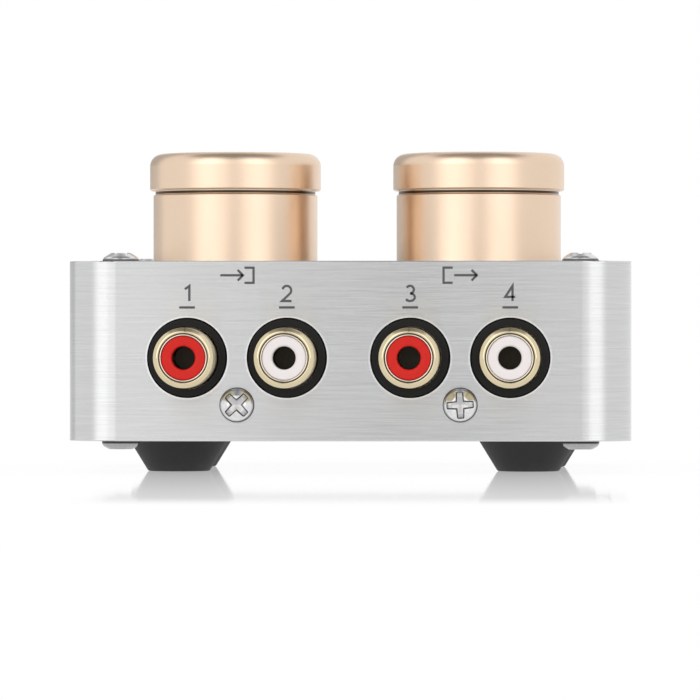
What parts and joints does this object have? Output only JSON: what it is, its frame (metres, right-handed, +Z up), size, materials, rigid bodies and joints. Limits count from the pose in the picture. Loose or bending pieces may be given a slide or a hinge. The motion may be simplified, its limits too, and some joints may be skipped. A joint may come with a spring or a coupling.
{
  "type": "passive preamplifier",
  "caption": "Small brushed aluminium box with round gold knobs on top, phono sockets in one wall and rubber feet: sets the volume of each stereo channel without power.",
  "frame": {"origin": "on the surface it stands on, below the middle of its outline (barrels included)", "axes": "+Z up, along the knob axes; the sockets face -Y; +X to the right when looking at the sockets"},
  "size_m": [0.0794, 0.079, 0.046],
  "materials": {
    "case_metal": "brushed and clear anodised",
    "knob_metal": "fine blasted and champagne gold anodised",
    "gold_plate": "polished gold plating",
    "screw_metal": "bright nickel plating",
    "control_metal": "dull plating",
    "black_plastic": "moulded, slight sheen",
    "red_plastic": "moulded, glossy",
    "white_plastic": "moulded, glossy",
    "rubber": "matt",
    "board": "lacquered glass laminate",
    "wafer": "phenolic laminate"
  },
  "bodies": {
    "case": {"case_ring": "case_metal", "top_plate": "case_metal", "bottom_plate": "case_metal", "top_screws": "screw_metal", "bottom_screws": "screw_metal", "jack_screws": "screw_metal", "circuit_board": "board", "foot_rear_left": "rubber", "foot_rear_right": "rubber", "foot_front_left": "rubber", "foot_front_right": "rubber", "jack_housing_input": "black_plastic", "jack_pins_input": "control_metal", "jack_housing_output": "black_plastic", "jack_pins_output": "control_metal", "jack_sleeve_input_right": "gold_plate", "jack_insulator_input_right": "red_plastic", "jack_contact_input_right": "gold_plate", "jack_sleeve_input_left": "gold_plate", "jack_insulator_input_left": "white_plastic", "jack_contact_input_left": "gold_plate", "jack_sleeve_output_right": "gold_plate", "jack_insulator_output_right": "red_plastic", "jack_contact_output_right": "gold_plate", "jack_sleeve_output_left": "gold_plate", "jack_insulator_output_left": "white_plastic", "jack_contact_output_left": "gold_plate", "spacer_left": "black_plastic", "pot_bushing_left": "control_metal", "pot_wafer_left": "wafer", "pot_cover_left": "control_metal", "pot_terminals_left": "control_metal", "pot_washer_left": "control_metal", "pot_nut_left": "control_metal", "spacer_right": "black_plastic", "pot_bushing_right": "control_metal", "pot_wafer_right": "wafer", "pot_cover_right": "control_metal", "pot_terminals_right": "control_metal", "pot_washer_right": "control_metal", "pot_nut_right": "control_metal"},
    "left_control": {"pot_shaft_left": "control_metal", "pot_rotor_left": "black_plastic", "pot_wiper_left": "gold_plate", "knob_left": "knob_metal", "set_screw_left": "control_metal"},
    "right_control": {"pot_shaft_right": "control_metal", "pot_rotor_right": "black_plastic", "pot_wiper_right": "gold_plate", "knob_right": "knob_metal", "set_screw_right": "control_metal"}
  },
  "joints": [
    {"name": "left_volume", "type": "hinge", "parent": "case", "child": "left_control", "pos_m": [-0.0178, 0.0045, 0.03], "axis": [0, 0, 1], "range_deg": [-150, 150]},
    {"name": "right_volume", "type": "hinge", "parent": "case", "child": "right_control", "pos_m": [0.0178, 0.0045, 0.03], "axis": [0, 0, 1], "range_deg": [-150, 150]}
  ]
}
